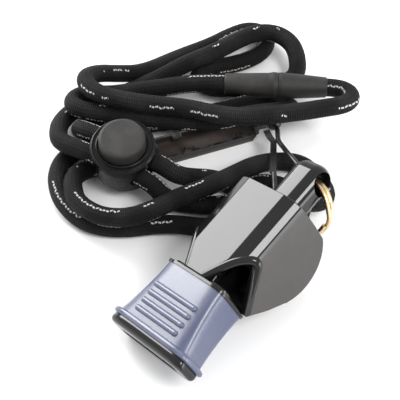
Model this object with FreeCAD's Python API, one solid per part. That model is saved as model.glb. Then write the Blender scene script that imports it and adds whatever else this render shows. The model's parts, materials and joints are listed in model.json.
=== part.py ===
import FreeCAD, Part
import math
import os

os.makedirs("parts", exist_ok=True)
V = FreeCAD.Vector

# Whistle body, in the whistle's own frame: x from the mouth to the lug, z 0 on the deck
BODY_HALF = 10.1
SIDE_WALL = 1.2
SHELL = 1.2
DECK_T = 1.5
DECK_BACK = 39.7
COLLAR_X = 16.0
CHAMBER_X = 30.4
CHAMBER_Z = -9.25
CHAMBER_R = 10.0
FLAT_HALF = 5.4
BEVEL_HALF = 8.0
BEVEL_DROP = 0.85
FACET_HALF = 9.15
FACET_DROP = 2.3
CHIN_Z = -12.4
NECK_HALF = 2.6
BOSS_R = 0.95
PORT_X = 24.2
PORT_LIP = 0.55
PARTING_Z = -4.4
PARTITION_Y = 3.0
PARTITION_T = 1.0
DIVIDER_FIT = 0.05

# Mouthpiece and its duct
MOUTH_HALF_COLLAR = 8.0
MOUTH_HALF_LIP = 12.3
MOUTH_TOP_COLLAR = -1.3
MOUTH_TOP_LIP = -2.7
MOUTH_BOTTOM_COLLAR = -11.4
MOUTH_BOTTOM_LIP = -8.7
MOUTH_ROUND = 2.6
SPLIT_Z = -5.6
LIP_LENGTH = 1.3
LIP_RAISE = 0.45
COLLAR_LENGTH = 0.7
COLLAR_RAISE = 1.15
DUCT_HALF = 8.4
DUCT_TOP = -4.6
DUCT_HEIGHT = 2.2

# Soft grip over the mouthpiece
GRIP_T = 0.85
GRIP_FRONT = LIP_LENGTH
GRIP_REAR = COLLAR_X - COLLAR_LENGTH
BEAD_LENGTH = 1.4
BEAD_RAISE = 0.9
RIB_COUNT = 4
RIB_PITCH = 2.05
RIB_FIRST = 3.6
RIB_HALF = 6.9
RIB_WIDTH = 1.25
RIB_RAISE = 0.42

# Lug and its flared cross bore
LUG_X = 48.9
LUG_Z = -8.6
LUG_R = 3.6
LUG_HALF = 4.5
LUG_ROUND = 1.2
BORE_R = 1.85
BORE_MOUTH_R = 2.95

# Split ring
RING_R = 6.5
RING_WIRE = 1.05
RING_GAP = 0.04
RING_TURNS = 2.0

# How the whistle leans on the floor
WHISTLE_PITCH = -16.0
WHISTLE_ROLL = -21.2
WHISTLE_AT = V(-1.65, -7.49, 19.73)
WHISTLE_PIVOT = V(25.0, 0.0, 0.0)

# The lanyard is laid out in a plan frame turned against the whistle
PLAN_TURN = -47.5
PLAN_SHIFT = V(-0.7, 10.4, 0.0)

# Cord
CORD_D = 4.4

# Cord lock
LOCK_AT = V(-17.6, 25.1, 4.8)
LOCK_YAW = -28.6
LOCK_TILT = 7.8
LOCK_BASE_R = 6.8
LOCK_BODY_R = 7.0
LOCK_RIM_R = 7.5
LOCK_RIM_Z = 6.6
LOCK_HEIGHT = 9.2
LOCK_FLOOR = 6.6
HOLE_FIT = 0.3
HOLE_Z = 3.7
HOLE_HALF = 5.1
BUTTON_R = 5.35
BUTTON_FIT = 0.12
BUTTON_RISE = 3.3
FLANGE_RAISE = 0.45
FLANGE_T = 0.5
LIP_T = 0.7
BUTTON_TRAVEL = 1.3

# Cord clamp
CLAMP_AT = V(-11.0, 32.3, 0.0)
CLAMP_YAW = 20.2
CLAMP_L = 26.5
CLAMP_W = 7.2
CLAMP_H = 2.4
SHEET = 0.6
CLAMP_END_H = 4.2
TAB_L = 2.4
TAB_W = 1.3

# Breakaway connector
JOIN_LEFT = V(6.0, 48.2, 9.0)
JOIN_RIGHT = V(31.0, 46.8, 9.0)
JOIN_END_R = 2.5
JOIN_MID_R = 3.25
JOIN_SEAM = 13.0
JOIN_SEAM_GAP = 0.1
STEM_R = 1.7
STEM_FIT = 0.12
STEM_L = 7.0

# Hook
HOOK_D = 1.2
SWIVEL_R = 1.9
SWIVEL_AT = V(18.2, 41.6, 2.0)
SWIVEL_PIN_R = 0.7
PIN_FIT = 0.05
PIN_HEAD_R = 1.2
GATE_W = 1.5
GATE_T = 0.35


def point(pair, y=0.0):
    return V(pair[0], y, pair[1])


def plate_xz(pairs, y0, y1):
    """A side view outline, drawn in x and z, made into a solid between y0 and y1."""
    pts = [point(p, y0) for p in pairs]
    face = Part.Face(Part.makePolygon(pts + [pts[0]]))
    return face.extrude(V(0, y1 - y0, 0))


def box(x0, x1, y0, y1, z0, z1):
    return Part.makeBox(x1 - x0, y1 - y0, z1 - z0, V(x0, y0, z0))


def rounded_section(x, half, top, bottom, radius):
    """A rounded rectangle across the whistle at x."""
    r = min(radius, 0.48 * (top - bottom), 0.48 * 2 * half)
    c = r * (1 - math.sqrt(0.5))
    edges = []
    corners = [(half, top, -1, -1), (half, bottom, -1, 1), (-half, bottom, 1, 1), (-half, top, 1, -1)]
    for i, (y, z, sy, sz) in enumerate(corners):
        first = V(x, y + sy * r, z)
        last = V(x, y, z + sz * r)
        if i % 2:
            first, last = last, first
        edges.append(Part.Arc(first, V(x, y + sy * c, z + sz * c), last).toShape())
        ny, nz, nsy, nsz = corners[(i + 1) % 4]
        if i % 2:
            start, end = V(x, y + sy * r, z), V(x, ny + nsy * r, nz)
        else:
            start, end = V(x, y, z + sz * r), V(x, ny, nz + nsz * r)
        edges.append(Part.LineSegment(start, end).toShape())
    return Part.Wire(Part.__sortEdges__(edges))


def chamber_outline(inset):
    """Side view of the round chamber and its chin, moved in by inset."""
    r = CHAMBER_R - inset
    back = DECK_BACK - inset
    rise = math.sqrt(r * r - (back - CHAMBER_X) ** 2)
    low = math.radians(238)
    front = V(CHAMBER_X + r * math.cos(low), 0, CHAMBER_Z + r * math.sin(low))
    chin = V(COLLAR_X, 0, CHIN_Z + inset)
    mid = V((front.x + chin.x) / 2, 0, (front.z + chin.z) / 2 + 0.45)
    top = -inset if inset else 0.0
    edges = [
        Part.LineSegment(V(COLLAR_X, 0, top), V(back, 0, top)),
        Part.LineSegment(V(back, 0, top), V(back, 0, CHAMBER_Z + rise)),
        Part.Arc(V(back, 0, CHAMBER_Z + rise), V(CHAMBER_X, 0, CHAMBER_Z - r), front),
        Part.Arc(front, mid, chin),
        Part.LineSegment(chin, V(COLLAR_X, 0, top)),
    ]
    return Part.Wire([e.toShape() for e in edges])


def slab(wire, y0, y1):
    moved = wire.translated(V(0, y0, 0))
    return Part.Face(moved).extrude(V(0, y1 - y0, 0))


def body_section():
    """The cross section: flat, bevel, facet and slightly bowed side wall."""
    right = [
        Part.LineSegment(V(0, FLAT_HALF, 0), V(0, BEVEL_HALF, -BEVEL_DROP)),
        Part.LineSegment(V(0, BEVEL_HALF, -BEVEL_DROP), V(0, FACET_HALF, -FACET_DROP)),
        Part.Arc(V(0, FACET_HALF, -FACET_DROP), V(0, BODY_HALF, -9.0), V(0, BODY_HALF - 0.5, -22.0)),
    ]
    left = [
        Part.LineSegment(V(0, -FLAT_HALF, 0), V(0, -BEVEL_HALF, -BEVEL_DROP)),
        Part.LineSegment(V(0, -BEVEL_HALF, -BEVEL_DROP), V(0, -FACET_HALF, -FACET_DROP)),
        Part.Arc(V(0, -FACET_HALF, -FACET_DROP), V(0, -BODY_HALF, -9.0), V(0, -BODY_HALF + 0.5, -22.0)),
    ]
    caps = [
        Part.LineSegment(V(0, -FLAT_HALF, 0), V(0, FLAT_HALF, 0)),
        Part.LineSegment(V(0, BODY_HALF - 0.5, -22.0), V(0, -BODY_HALF + 0.5, -22.0)),
    ]
    edges = [e.toShape() for e in right + left + caps]
    return Part.Wire(Part.__sortEdges__(edges))


def body_block():
    """The closed outer form of the chamber body."""
    side = slab(chamber_outline(0.0), -BODY_HALF - 1, BODY_HALF + 1)
    across = Part.Face(body_section()).extrude(V(60, 0, 0))
    return side.common(across)


def mouth_block(grow, front, rear):
    """The flared mouthpiece between front and rear, grown outward by grow."""
    stations = [front, (front + rear) / 2, rear]
    wires = []
    for x in stations:
        t = min(x / COLLAR_X, 1.0)
        flare = (1 - t) ** 1.7
        half = MOUTH_HALF_COLLAR + (MOUTH_HALF_LIP - MOUTH_HALF_COLLAR) * flare
        top = MOUTH_TOP_COLLAR + (MOUTH_TOP_LIP - MOUTH_TOP_COLLAR) * (1 - t)
        bottom = MOUTH_BOTTOM_COLLAR + (MOUTH_BOTTOM_LIP - MOUTH_BOTTOM_COLLAR) * (1 - t)
        wires.append(rounded_section(x, half + grow, top + grow, bottom - grow, MOUTH_ROUND + grow))
    return Part.makeLoft(wires, True)


def duct():
    """The flat air slot through the mouthpiece."""
    wires = [
        rounded_section(-2.0, DUCT_HALF + 0.6, DUCT_TOP + 0.2, DUCT_TOP - DUCT_HEIGHT - 0.2, 0.6),
        rounded_section(COLLAR_X + 1.0, DUCT_HALF - 1.6, DUCT_TOP + 0.5, DUCT_TOP - DUCT_HEIGHT - 1.6, 0.6),
    ]
    return Part.makeLoft(wires, True)


def lug_block():
    """The rounded tongue that carries the ring."""
    profile = box(DECK_BACK - 6, LUG_X, -LUG_HALF, LUG_HALF, LUG_Z - LUG_R, LUG_Z + LUG_R)
    end = Part.makeCylinder(LUG_R, 2 * LUG_HALF, V(LUG_X, -LUG_HALF, LUG_Z), V(0, 1, 0))
    lug = profile.fuse(end).removeSplitter()
    rims = [e for e in lug.Edges if abs(abs(e.CenterOfMass.y) - LUG_HALF) < 1e-6 and e.BoundBox.XMax > DECK_BACK - 5.9]
    return lug.makeFillet(LUG_ROUND, rims)


def bore():
    """The hourglass bore that lets the ring lie askew."""
    half = LUG_HALF + 0.2
    mid = Part.Arc(V(BORE_MOUTH_R, -half, 0), V(BORE_R, 0, 0), V(BORE_MOUTH_R, half, 0)).toShape()
    rest = Part.makePolygon([V(BORE_MOUTH_R, half, 0), V(0, half, 0), V(0, -half, 0), V(BORE_MOUTH_R, -half, 0)])
    face = Part.Face(Part.Wire([mid] + rest.Edges))
    return face.revolve(V(0, 0, 0), V(0, 1, 0), 360).translated(V(LUG_X, 0, LUG_Z))


def side_port(sign):
    """The three-cornered port at one side of the neck, with the deck's tapered neck left standing."""
    reach = BODY_HALF + 2
    outline = [
        (COLLAR_X, 1.0), (PORT_X - 0.4, 1.0), (PORT_X, -FACET_DROP - 1.4), (PORT_X - 0.9, -8.0),
        (COLLAR_X + 1.5, CHIN_Z - 0.6), (COLLAR_X, CHIN_Z - 0.6),
    ]
    inner = PARTITION_Y + PARTITION_T
    cut = plate_xz(outline, -reach, -inner) if sign < 0 else plate_xz(outline, inner, reach)
    pts = [
        V(COLLAR_X - 1, 0, -DECK_T - 0.6), V(COLLAR_X - 1, sign * NECK_HALF, -DECK_T - 0.6),
        V(PORT_X - 2.6, sign * FLAT_HALF * 1.02, -DECK_T - 0.6), V(PORT_X, sign * FACET_HALF, -DECK_T - 0.6),
        V(PORT_X + 1, 0, -DECK_T - 0.6),
    ]
    neck = Part.Face(Part.makePolygon(pts + [pts[0]])).extrude(V(0, 0, DECK_T + 2))
    over = plate_xz([(COLLAR_X, 1.0), (PORT_X, 1.0), (PORT_X, -FACET_DROP - 1.4), (COLLAR_X, -DECK_T - 0.6)], *sorted((0.0, sign * reach)))
    return cut.fuse(over).cut(neck)


def whistle_shells():
    """Top shell and belly shell, split where the real mouldings meet."""
    outer = body_block()
    collar = mouth_block(COLLAR_RAISE, GRIP_REAR, COLLAR_X + 0.6)
    lip = mouth_block(LIP_RAISE, 0.0, LIP_LENGTH)
    stem = mouth_block(0.0, 0.0, COLLAR_X + 0.6)
    whole = outer.fuse([stem, collar, lip, lug_block()])
    inner_half = BODY_HALF - SIDE_WALL
    cavity = slab(chamber_outline(SHELL), -inner_half + 0.25, inner_half - 0.25)
    roof = box(COLLAR_X - 1, DECK_BACK, -inner_half, inner_half, -DECK_T, 2)
    cavity = cavity.cut(roof)
    eaves = Part.Face(body_section()).extrude(V(60, 0, 0))
    eaves = eaves.translated(V(0, 0, -DECK_T))
    cavity = cavity.common(eaves)
    under = box(COLLAR_X + 1.2, COLLAR_X + 5.6, -PARTITION_Y + 0.1, PARTITION_Y - 0.1, -24, CHIN_Z + 2.2)
    whole = whole.cut([cavity, side_port(1), side_port(-1), under, duct(), bore()])
    for sign in (1, -1):
        boss = Part.makeCylinder(BOSS_R, 2.6, V(COLLAR_X + 1.0, sign * NECK_HALF, -2.9))
        whole = whole.fuse(boss)
    band = box(COLLAR_X + 0.6, 60, -inner_half, inner_half, -30, PARTING_Z)
    floor = box(-5, COLLAR_X + 0.6, -30, 30, -30, SPLIT_Z)
    cutter = band.fuse(floor)
    belly = whole.common(cutter)
    top = whole.cut(cutter)
    return top, belly


def divider():
    """Two partition plates and the air ramps between them and the side walls."""
    plates = []
    profile = slab(chamber_outline(SHELL + DIVIDER_FIT), -BODY_HALF, BODY_HALF)
    profile = profile.cut(box(COLLAR_X - 1, DECK_BACK, -BODY_HALF, BODY_HALF, -DECK_T - DIVIDER_FIT, 2))
    profile = profile.cut(box(COLLAR_X - 1, COLLAR_X + 0.7, -BODY_HALF, BODY_HALF, -30, 5))
    profile = profile.cut(box(COLLAR_X - 1, COLLAR_X + 2.1, -BODY_HALF, BODY_HALF, -3.0, 5))
    for sign in (1, -1):
        y0, y1 = sorted((sign * PARTITION_Y, sign * (PARTITION_Y + PARTITION_T)))
        plates.append(profile.common(box(0, 60, y0, y1, -30, 5)))
    ramp_edges = [
        Part.Arc(V(COLLAR_X + 0.7, 0, -8.4), V(COLLAR_X + 3.4, 0, -9.4), V(COLLAR_X + 5.2, 0, -12.6)).toShape(),
        Part.makePolygon([V(COLLAR_X + 5.2, 0, -12.6), V(COLLAR_X + 5.2, 0, -14), V(COLLAR_X + 0.7, 0, -14), V(COLLAR_X + 0.7, 0, -8.4)]),
    ]
    ramp = Part.Face(Part.Wire([ramp_edges[0]] + ramp_edges[1].Edges))
    half = BODY_HALF - SIDE_WALL - 0.3
    block = ramp.translated(V(0, -half, 0)).extrude(V(0, 2 * half, 0)).common(profile)
    block = block.cut(box(0, 60, -PARTITION_Y, PARTITION_Y, -30, -10.2))
    return plates[0].fuse([plates[1], block]).removeSplitter()


def mouth_grip():
    """The soft sleeve with its front bead and four ribs."""
    skin = mouth_block(GRIP_T, GRIP_FRONT, GRIP_REAR)
    bead = mouth_block(GRIP_T + BEAD_RAISE, GRIP_FRONT, GRIP_FRONT + BEAD_LENGTH)
    rims = [e for e in bead.Edges if abs(e.BoundBox.XLength) < 1e-6]
    bead = bead.makeFillet(0.45 * BEAD_LENGTH, rims)
    sleeve = skin.fuse(bead)
    for i in range(RIB_COUNT):
        x = RIB_FIRST + i * RIB_PITCH
        rib = box(x - RIB_WIDTH / 2, x + RIB_WIDTH / 2, -RIB_HALF + RIB_WIDTH / 2, RIB_HALF - RIB_WIDTH / 2, -6, 4)
        for sign in (1, -1):
            end = Part.makeCylinder(RIB_WIDTH / 2, 10, V(x, sign * (RIB_HALF - RIB_WIDTH / 2), -6))
            rib = rib.fuse(end)
        raised = mouth_block(GRIP_T + RIB_RAISE, GRIP_FRONT, GRIP_REAR)
        sleeve = sleeve.fuse(rib.removeSplitter().common(raised))
    return sleeve.cut(mouth_block(0.0, 0.0, COLLAR_X + 0.6)).removeSplitter()


def ring_coil():
    """A flat two-turn coil with a step from one turn to the next, round its own z axis."""
    rise = RING_WIRE + RING_GAP
    turns = RING_TURNS - 0.06
    steps = 72
    pts = []
    for i in range(steps + 1):
        a = 2 * math.pi * turns * i / steps
        step = min(max((a - 1.88 * math.pi) / (0.24 * math.pi), 0.0), 1.0)
        z = rise * (step * step * (3 - 2 * step) - 0.5)
        pts.append(V(RING_R * math.cos(a), RING_R * math.sin(a), z))
    path = Part.BSplineCurve()
    path.interpolate(pts)
    spine = Part.Wire(path.toShape())
    start = Part.Wire(Part.makeCircle(RING_WIRE / 2, pts[0], V(0, 1, 0)))
    return spine.makePipeShell([start], True, True)


def swept(points, diameter):
    """A round tube along straight runs joined by tangent arcs."""
    edges, previous = [], points[0]
    for a, b, c in zip(points, points[1:], points[2:]):
        into, out = (b - a), (c - b)
        trim = 0.45 * min(into.Length, out.Length)
        start = b - into.normalize() * trim
        end = b + out.normalize() * trim
        half = (start + end) * 0.5
        turn = into.getAngle(out)
        radius = trim / math.tan(turn / 2)
        centre_gap = math.hypot(trim, radius) - radius
        middle = b + (half - b).normalize() * centre_gap
        edges.append(Part.LineSegment(previous, start).toShape())
        edges.append(Part.Arc(start, middle, end).toShape())
        previous = end
    edges.append(Part.LineSegment(previous, points[-1]).toShape())
    wire = Part.Wire(edges)
    circle = Part.makeCircle(diameter / 2, points[0], points[1] - points[0])
    tube = wire.makePipeShell([Part.Wire(circle)], True, False)
    expected = math.pi * diameter ** 2 / 4 * wire.Length
    print("tube length", round(wire.Length, 1), "volume ratio", round(tube.Volume / expected, 4))
    return tube


def turned(profile, closed_by_axis=True):
    """A solid of revolution about z from (radius, z) pairs."""
    pts = [V(r, 0, z) for r, z in profile]
    face = Part.Face(Part.makePolygon(pts + [pts[0]]))
    return face.revolve(V(0, 0, 0), V(0, 0, 1), 360)


def lock_housing():
    lip_r = BUTTON_R + BUTTON_FIT
    pocket_r = BUTTON_R + FLANGE_RAISE + BUTTON_FIT
    body = turned([
        (0, 0), (LOCK_BASE_R, 0), (LOCK_BODY_R, LOCK_RIM_Z), (LOCK_RIM_R, LOCK_RIM_Z + 0.5),
        (LOCK_RIM_R, LOCK_HEIGHT - 0.5), (LOCK_RIM_R - 0.5, LOCK_HEIGHT), (lip_r, LOCK_HEIGHT),
        (lip_r, LOCK_HEIGHT - LIP_T), (pocket_r, LOCK_HEIGHT - LIP_T), (pocket_r, LOCK_FLOOR), (0, LOCK_FLOOR),
    ])
    half = CORD_D / 2 + HOLE_FIT
    slot = box(-20, 20, -HOLE_HALF + half, HOLE_HALF - half, HOLE_Z - half, HOLE_Z + half)
    for sign in (1, -1):
        round_end = Part.makeCylinder(half, 40, V(-20, sign * (HOLE_HALF - half), HOLE_Z), V(1, 0, 0))
        slot = slot.fuse(round_end)
    return body.cut(slot)


def lock_button():
    top = LOCK_HEIGHT + BUTTON_RISE
    flange_top = LOCK_HEIGHT - LIP_T - 0.08
    flange_r = BUTTON_R + FLANGE_RAISE
    return turned([
        (0, flange_top - FLANGE_T), (flange_r, flange_top - FLANGE_T), (flange_r, flange_top),
        (BUTTON_R, flange_top), (BUTTON_R, top - 0.7), (BUTTON_R - 0.22, top - 0.2), (BUTTON_R - 0.75, top), (0, top + 0.1),
    ])


def clamp():
    """A folded channel with rims along both sides, an end wall, crimp tabs and a nose with the swivel's hole."""
    floor = box(0, CLAMP_L, -CLAMP_W / 2, CLAMP_W / 2, 0, SHEET)
    rims = [box(0, CLAMP_L - 2.2, s * CLAMP_W / 2 - (SHEET if s > 0 else 0), s * CLAMP_W / 2 + (0 if s > 0 else SHEET), 0, CLAMP_H) for s in (1, -1)]
    end = box(0, SHEET, -CLAMP_W / 2, CLAMP_W / 2, 0, CLAMP_END_H)
    nose = box(CLAMP_L - SHEET, CLAMP_L, -2.0, 2.0, 0, 5.0)
    body = floor.fuse(rims + [end, nose])
    for x, s in ((5.4, 1), (7.0, -1), (19.5, -1)):
        y0, y1 = sorted((s * (CLAMP_W / 2 - SHEET), s * (CLAMP_W / 2 - SHEET - TAB_W)))
        body = body.fuse(box(x, x + TAB_L, y0, y1, CLAMP_H - SHEET, CLAMP_H))
    for s in (1, -1):
        corner = Part.makePolygon([V(CLAMP_L - 2.4, s * 3.7, -1), V(CLAMP_L + 1, s * 3.7, -1), V(CLAMP_L + 1, s * 0.8, -1), V(CLAMP_L - 2.4, s * 3.7, -1)])
        body = body.cut(Part.Face(corner).extrude(V(0, 0, 1 + SHEET + 0.01)).cut(nose))
    hole = Part.makeCylinder(SWIVEL_PIN_R + PIN_FIT, 3, V(CLAMP_L - 2, -1.4, SWIVEL_AT.z), V(1, 0, 0))
    return body.cut(hole).removeSplitter()


def join_halves():
    """Socket and plug of the breakaway connector, along local z."""
    length = (JOIN_RIGHT - JOIN_LEFT).Length
    socket = turned([
        (0, 0), (JOIN_END_R - 0.25, 0), (JOIN_END_R, 0.3), (JOIN_MID_R - 0.25, JOIN_SEAM - 2.2), (JOIN_MID_R, JOIN_SEAM - 1.0),
        (JOIN_MID_R - 0.1, JOIN_SEAM), (STEM_R + STEM_FIT, JOIN_SEAM),
        (STEM_R + STEM_FIT, JOIN_SEAM - STEM_L - 0.5), (0, JOIN_SEAM - STEM_L - 0.5),
    ])
    start = JOIN_SEAM + JOIN_SEAM_GAP
    plug = turned([
        (0, start - STEM_L), (STEM_R - 0.4, start - STEM_L), (STEM_R, start - STEM_L + 0.8), (STEM_R, start - STEM_L + 1.8),
        (STEM_R - 0.35, start - STEM_L + 2.2), (STEM_R - 0.35, start), (JOIN_MID_R - 0.1, start), (JOIN_MID_R, start + 0.8),
        (JOIN_END_R, length - 0.3), (JOIN_END_R - 0.25, length), (0, length),
    ])
    return socket, plug


def on_floor(shape):
    """Places a piece of the lanyard from the plan frame into the part's frame."""
    moved = shape.copy()
    moved.Placement = FreeCAD.Placement(PLAN_SHIFT, FreeCAD.Rotation(V(0, 0, 1), PLAN_TURN)).multiply(moved.Placement)
    return moved


def as_whistle(shape):
    """Places a piece of the whistle, leaning as it lies."""
    moved = shape.copy()
    lean = FreeCAD.Rotation(0, WHISTLE_PITCH, WHISTLE_ROLL)
    move = FreeCAD.Placement(WHISTLE_AT + PLAN_SHIFT, lean).multiply(FreeCAD.Placement(WHISTLE_PIVOT * -1, FreeCAD.Rotation()))
    moved.Placement = move.multiply(moved.Placement)
    return moved


def placed(shape, at, z_axis, x_axis):
    z_axis = V(z_axis).normalize()
    x_axis = V(x_axis)
    x_axis = (x_axis - z_axis * x_axis.dot(z_axis)).normalize()
    y_axis = z_axis.cross(x_axis)
    rows = [x_axis.x, y_axis.x, z_axis.x, at.x, x_axis.y, y_axis.y, z_axis.y, at.y, x_axis.z, y_axis.z, z_axis.z, at.z, 0, 0, 0, 1]
    moved = shape.copy()
    moved.Placement = FreeCAD.Placement(FreeCAD.Matrix(*rows))
    return moved


def in_lock(shape):
    moved = shape.copy()
    tilt = FreeCAD.Rotation(V(1, 0, 0), LOCK_TILT)
    yaw = FreeCAD.Rotation(V(0, 0, 1), LOCK_YAW)
    moved.Placement = FreeCAD.Placement(LOCK_AT, tilt.multiply(yaw))
    return moved


# Cord routes in the plan frame, from the clamp through the lock to the connector
CORD_A = [
    V(-11.81, 34.45, 2.6), V(-15.56, 33.07, 2.6), V(-21, 34.2, 2.4), V(-28, 33.2, 2.4), V(-32.3, 30, 2.4), V(-34, 25, 2.4), V(-33, 19, 2.4),
    V(-30, 14, 2.4), V(-26, 10.5, 2.4), V(-21, 9, 2.4), V(-16, 9, 2.4), V(-10, 10, 2.4), V(-4.5, 10, 2.4),
    V(0.5, 9, 2.4), V(8, 9.5, 2.4), V(15.5, 11, 2.4), V(21.5, 14, 2.4), V(21.5, 20, 2.4), V(15.5, 22.6, 2.4),
    V(9, 20.5, 2.4), V(3.5, 23.5, 2.4), V(-2.5, 23, 3.4), V(-5.5, 21, 6.8), V(-8.89, 22.83, 8.22), V(-16.36, 26.86, 8.95), V(-23.82, 30.89, 9.33),
    V(-28, 33.5, 8.6), V(-29, 37, 5.2), V(-26, 40.5, 2.4), V(-19.5, 40.1, 2.4), V(-13, 40.5, 2.4), V(0, 43.5, 2.4), V(11, 47.5, 2.4),
    V(19.0, 49.3, 2.4), V(23.6, 45, 3.2), V(19.2, 41, 6.9), V(11.5, 40, 6.8), V(4.5, 37.5, 6.8), V(-2.5, 37.5, 6.8),
    V(-12, 38.5, 7.0), V(-19.5, 39.9, 7.4), V(-25, 40.6, 7.9), V(-29.8, 40.9, 7.7), V(-31.8, 44.6, 7.2), V(-28.2, 47.4, 7.0),
    V(-22.5, 47.4, 6.8), V(-16, 48, 6.8), V(-10, 48.5, 7.2), V(-2.5, 48.6, 8.2), V(3, 48.368, 9.0), V(6.0, 48.2, 9.0),
]
CORD_B = [
    V(-10.23, 30.13, 2.6), V(-13.98, 28.75, 2.6), V(-19.5, 28.6, 2.4), V(-26.3, 26, 3.0), V(-29.5, 22.5, 4.4), V(-29.3, 18, 6.2), V(-28, 13, 7.0),
    V(-24.5, 10, 7.0), V(-21, 8.5, 7.0), V(-16, 8, 7.4), V(-11, 9.5, 8.0), V(-5, 13.5, 7.8), V(1, 16.5, 7.4),
    V(7.5, 20.5, 7.2), V(13, 24.7, 6.2), V(19, 28.4, 3.0), V(24.5, 28, 2.4), V(29, 23.5, 2.4), V(31, 17.5, 3.4),
    V(26.5, 12.8, 6.2), V(19.3, 14.1, 7.3), V(11, 15.7, 5.0), V(4, 15, 2.6), V(-3.5, 16, 2.4), V(-7.5, 16.2, 3.2),
    V(-10.9, 18.0, 7.56), V(-18.84, 22.34, 8.3), V(-26.9, 26.7, 8.75), V(-33, 29.5, 8.4), V(-34, 35, 6.5), V(-34, 40.5, 3.5), V(-31.5, 45.5, 2.4),
    V(-23, 49, 2.4), V(-12.5, 54.5, 2.8), V(-3, 58, 5.6), V(3, 60.5, 7.2), V(8.5, 64.5, 7.2), V(14, 68.4, 7.0),
    V(19.5, 68.5, 7.0), V(23.5, 65, 6.8), V(25, 61.5, 5.0), V(25, 58, 2.4), V(21.5, 54.5, 2.4), V(15.5, 53, 2.4),
    V(8, 53, 2.4), V(2.6, 52.9, 2.4), V(-1.2, 56, 2.4), V(1.2, 60.2, 2.4), V(8.5, 61.2, 2.4), V(15, 64.5, 2.4),
    V(18, 69, 2.4), V(16.5, 73.5, 2.4), V(12.5, 75.5, 2.4), V(7.5, 73.5, 2.4), V(3, 70, 2.4), V(-5.5, 65.5, 2.4),
    V(-14.5, 60, 2.4), V(-21, 55.5, 3.6), V(-26, 53.2, 6.6), V(-30.2, 49.8, 11.0), V(-27.5, 44.2, 12.8), V(-21, 41.3, 12.3),
    V(-12.5, 39.5, 11.7), V(-3, 38, 11.5), V(4, 35.5, 11.5), V(11.5, 34.5, 11.5), V(18, 35.5, 11.5), V(25.5, 37, 11.2),
    V(30.5, 38.6, 10.9), V(35, 39.9, 10.4), V(38, 43.2, 9.6), V(35, 46.576, 9.0), V(31.0, 46.8, 9.0),
]
HOOK_ROUTE = [
    V(18.6, 39.1, 3.0), V(18.8, 36.6, 4.6), V(18.6, 32.7, 5.4), V(20.4, 26.7, 8.0), V(23.2, 20.0, 9.8), V(24.0, 13.6, 10.3),
    V(24.3, 8.6, 9.8), V(22.4, 4.9, 8.8), V(19.2, 5.3, 8.6), V(17.3, 8.8, 9.0), V(16.8, 13.2, 9.8), V(16.8, 18.6, 10.2),
]
GATE_ROUTE = [V(16.0, 36.0, 5.2), V(16.8, 33.4, 5.6), V(17.5, 31.8, 6.0), V(16.6, 19.0, 9.9)]


def gate_strip():
    """A flat spring strip on edge, bent twice."""
    edges = [Part.LineSegment(a, b).toShape() for a, b in zip(GATE_ROUTE, GATE_ROUTE[1:])]
    parts = []
    for a, b in zip(GATE_ROUTE, GATE_ROUTE[1:]):
        along = (b - a)
        bar = Part.makeBox(along.Length + 0.1, GATE_W, GATE_T, V(0, -GATE_W / 2, -GATE_T / 2))
        z_axis = along.cross(V(0, 0, 1)).cross(along)
        parts.append(placed(bar, a, z_axis, along))
    return parts[0].fuse(parts[1:]).removeSplitter()


def swivel():
    ball = Part.makeSphere(SWIVEL_R, SWIVEL_AT)
    ball = ball.cut(box(-50, 50, -50, 80, -5, SWIVEL_AT.z - 1.7))
    along = FreeCAD.Rotation(V(0, 0, 1), CLAMP_YAW).multVec(V(1, 0, 0))
    nose = CLAMP_AT + FreeCAD.Rotation(V(0, 0, 1), CLAMP_YAW).multVec(V(CLAMP_L - SHEET, -1.4, SWIVEL_AT.z))
    pin = Part.makeCylinder(SWIVEL_PIN_R, (SWIVEL_AT - nose).Length, nose, along)
    head = Part.makeCylinder(PIN_HEAD_R, 0.6, nose - along * (0.6 + PIN_FIT), along)
    stub = Part.makeCylinder(SWIVEL_PIN_R, 0.3, nose - along * 0.3, along)
    return ball.fuse([pin, head, stub]).removeSplitter()


def main():
    top, belly = whistle_shells()
    nodes = {
        "top_shell": as_whistle(top),
        "belly_shell": as_whistle(belly),
        "air_divider": as_whistle(divider()),
        "mouth_grip": as_whistle(mouth_grip()),
    }
    to_centre = V(-0.08, -0.51, -0.88)
    across = V(0.66, -0.67, 0.33)
    ring_centre = V(23.28, 7.35, 12.96)
    ring = placed(ring_coil(), ring_centre, to_centre.cross(across), across)
    nodes["split_ring"] = on_floor(ring)
    nodes["hook_wire"] = on_floor(swept(HOOK_ROUTE, HOOK_D))
    nodes["hook_gate"] = on_floor(gate_strip())
    nodes["hook_swivel"] = on_floor(swivel())
    clamp_body = clamp()
    clamp_body.Placement = FreeCAD.Placement(CLAMP_AT, FreeCAD.Rotation(V(0, 0, 1), CLAMP_YAW))
    nodes["cord_clamp"] = on_floor(clamp_body)
    nodes["lock_housing"] = on_floor(in_lock(lock_housing()))
    nodes["lock_button"] = on_floor(in_lock(lock_button()))
    socket, plug = join_halves()
    axis = JOIN_RIGHT - JOIN_LEFT
    nodes["join_socket"] = on_floor(placed(socket, JOIN_LEFT, axis, V(0, 0, 1)))
    nodes["join_plug"] = on_floor(placed(plug, JOIN_LEFT, axis, V(0, 0, 1)))
    nodes["cord_a"] = on_floor(swept(CORD_A, CORD_D))
    nodes["cord_b"] = on_floor(swept(CORD_B, CORD_D))
    for name, shape in nodes.items():
        b = shape.BoundBox
        print(name, len(shape.Solids), shape.isValid(), round(shape.Volume, 1), [round(v, 1) for v in (b.XMin, b.XMax, b.YMin, b.YMax, b.ZMin, b.ZMax)])
        shape.exportStep("parts/%s.step" % name)


main()
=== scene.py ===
import json
import logging
import math
from contextlib import contextmanager
from dataclasses import dataclass, field
from enum import Enum
from typing import Any, Iterator, Optional, Sequence, Union

import bmesh
import bpy
from mathutils import Matrix, Vector

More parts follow.
